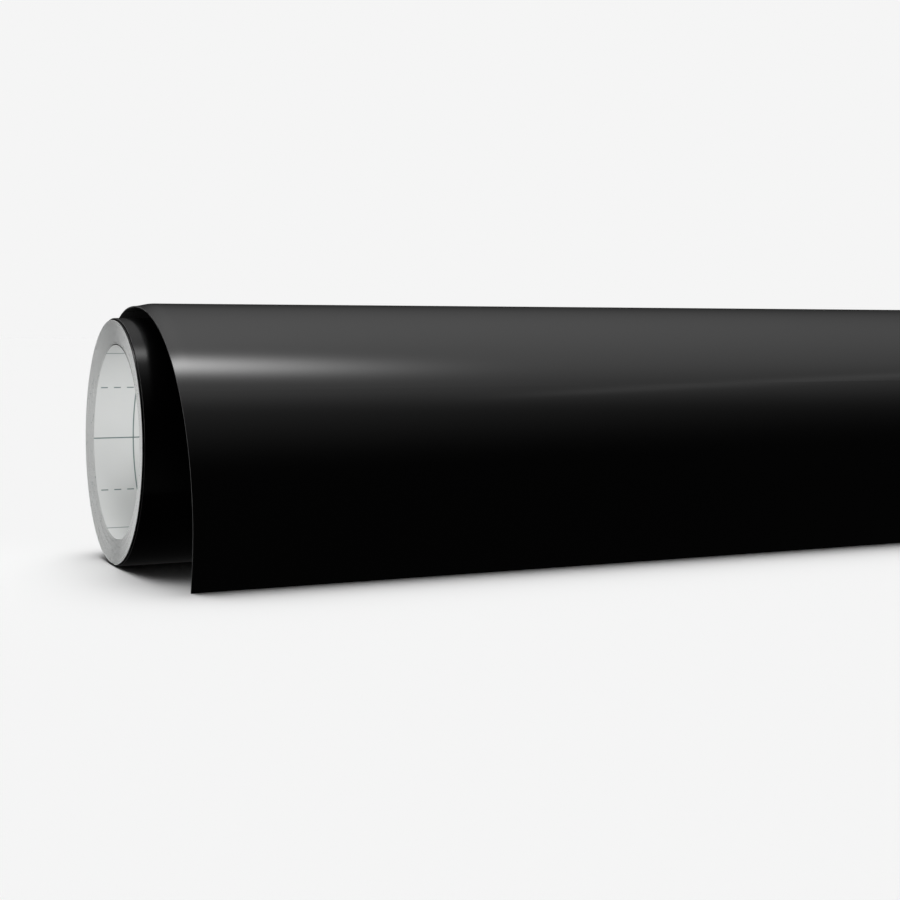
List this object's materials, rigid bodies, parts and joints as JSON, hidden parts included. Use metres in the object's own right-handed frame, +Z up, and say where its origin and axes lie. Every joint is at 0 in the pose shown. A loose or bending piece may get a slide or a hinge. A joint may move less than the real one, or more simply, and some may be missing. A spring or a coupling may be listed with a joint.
{
  "type": "roll of sign vinyl",
  "caption": "Coreless roll of gloss sign vinyl on a paper liner, wound film side out, with a slack turn and a sprung outer wrap that arches forward onto its cut end.",
  "frame": {"origin": "on the resting surface, under the middle of the object's box", "axes": "+X along the roll, away from its flush end; +Y to the rear, away from the curl; +Z up"},
  "size_m": [0.3102, 0.0754, 0.0577],
  "materials": {
    "film": "gloss black calendered vinyl, slightly wavy",
    "liner": "silicone-coated white kraft paper with a grey-green cutting grid on its back"
  },
  "bodies": {
    "wound_roll": {"bore_turn_liner": "liner", "bore_turn_film": "film", "turns_02_06_liner": "liner", "turns_02_06_film": "film", "turns_07_11_liner": "liner", "turns_07_11_film": "film", "turns_12_16_liner": "liner", "turns_12_16_film": "film", "turns_17_21_liner": "liner", "turns_17_21_film": "film", "outer_turn_liner": "liner", "outer_turn_film": "film"},
    "slack_turn": {"slack_turn_liner": "liner", "slack_turn_film": "film"},
    "loose_wrap": {"loose_wrap_liner": "liner", "loose_wrap_film": "film"},
    "curl_upper": {"curl_upper_liner": "liner", "curl_upper_film": "film"},
    "curl_middle": {"curl_middle_liner": "liner", "curl_middle_film": "film"},
    "curl_foot": {"curl_foot_liner": "liner", "curl_foot_film": "film"}
  },
  "joints": [
    {"name": "wrap_slide", "type": "slide", "parent": "wound_roll", "child": "loose_wrap", "axis": [1, 0, 0], "range_m": [-0.0053, 0.04]},
    {"name": "slack_turn_slide", "type": "slide", "parent": "wound_roll", "child": "slack_turn", "axis": [1, 0, 0], "range_m": [-0.0005, 0.00377]},
    {"name": "curl_lift_upper", "type": "hinge", "parent": "loose_wrap", "child": "curl_upper", "pos_m": [0, 0.00556, 0.05756], "axis": [-1, 0, 0], "range_deg": [0, 25], "stiffness_Nm_per_rad": 0.02},
    {"name": "curl_lift_middle", "type": "hinge", "parent": "curl_upper", "child": "curl_middle", "pos_m": [0, -0.01923, 0.04893], "axis": [-1, 0, 0], "range_deg": [0, 25]},
    {"name": "curl_lift_foot", "type": "hinge", "parent": "curl_middle", "child": "curl_foot", "pos_m": [0, -0.03495, 0.02791], "axis": [-1, 0, 0], "range_deg": [0, 25]}
  ],
  "couplings": [
    {"joint": "slack_turn_slide", "follows": "wrap_slide", "ratio": 0.0943},
    {"joint": "curl_lift_middle", "follows": "curl_lift_upper", "ratio": 1},
    {"joint": "curl_lift_foot", "follows": "curl_lift_upper", "ratio": 1}
  ]
}
